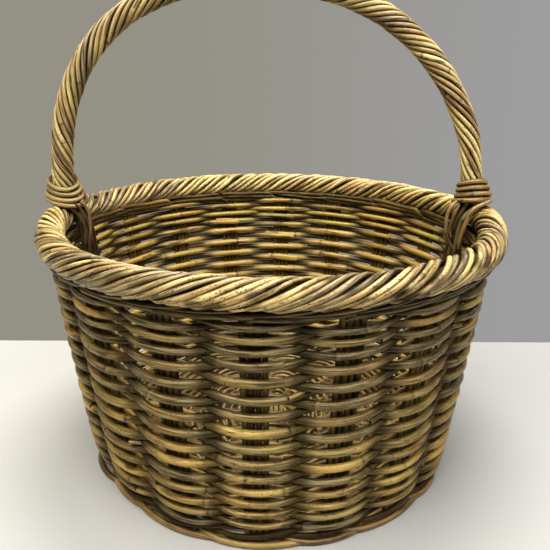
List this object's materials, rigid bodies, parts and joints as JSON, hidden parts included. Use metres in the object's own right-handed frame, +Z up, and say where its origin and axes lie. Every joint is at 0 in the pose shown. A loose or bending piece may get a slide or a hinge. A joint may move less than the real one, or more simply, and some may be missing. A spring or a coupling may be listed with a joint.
{
  "type": "woven market basket",
  "caption": "Round woven cane basket with tapered sides, a thick roped rim and a fixed roped hoop handle lashed at both feet.",
  "frame": {"origin": "middle of the foot, on the surface that the basket stands on", "axes": "+Z up; the hoop handle spans the basket along X, and -Y is the front"},
  "size_m": [0.412, 0.412, 0.4318],
  "materials": {
    "weaving_cane": "satin, peeled cane with dark nodes and speckles",
    "stake_cane": "matt, darker cane",
    "base_cane": "satin, peeled cane",
    "foot_cane": "smooth, worn orange-brown cane",
    "rim_cane": "satin, golden peeled cane",
    "handle_cane": "satin, golden cane polished by hands",
    "lashing_cane": "satin, pale thin cane"
  },
  "bodies": {
    "root": {"stakes_01": "stake_cane", "stakes_02": "stake_cane", "stakes_03": "stake_cane", "stakes_04": "stake_cane", "stakes_05": "stake_cane", "stakes_06": "stake_cane", "stakes_07": "stake_cane", "stakes_08": "stake_cane", "stakes_09": "stake_cane", "stakes_10": "stake_cane", "stakes_11": "stake_cane", "stakes_12": "stake_cane", "stakes_13": "stake_cane", "stakes_14": "stake_cane", "stakes_15": "stake_cane", "stakes_16": "stake_cane", "stakes_17": "stake_cane", "stakes_18": "stake_cane", "siding_round_01": "weaving_cane", "siding_round_02": "weaving_cane", "siding_round_03": "weaving_cane", "siding_round_04": "weaving_cane", "siding_round_05": "weaving_cane", "siding_round_06": "weaving_cane", "siding_round_07": "weaving_cane", "siding_round_08": "weaving_cane", "siding_round_09": "weaving_cane", "siding_round_10": "weaving_cane", "siding_round_11": "weaving_cane", "siding_round_12": "weaving_cane", "siding_round_13": "weaving_cane", "siding_round_14": "weaving_cane", "siding_round_15": "weaving_cane", "siding_round_16": "weaving_cane", "siding_round_17": "weaving_cane", "siding_round_18": "weaving_cane", "siding_round_19": "weaving_cane", "siding_round_20": "weaving_cane", "siding_round_21": "weaving_cane", "siding_round_22": "weaving_cane", "siding_round_23": "weaving_cane", "siding_round_24": "weaving_cane", "siding_round_25": "weaving_cane", "siding_round_26": "weaving_cane", "siding_round_27": "weaving_cane", "siding_round_28": "weaving_cane", "siding_round_29": "weaving_cane", "siding_round_30": "weaving_cane", "base_sticks": "stake_cane", "base_weave": "base_cane", "foot_border": "foot_cane", "upsett_wale": "base_cane", "rim_core": "rim_cane", "rim_rope": "rim_cane", "handle_bow": "handle_cane", "handle_roping": "handle_cane", "lashing_left": "lashing_cane", "lashing_right": "lashing_cane"}
  },
  "joints": []
}
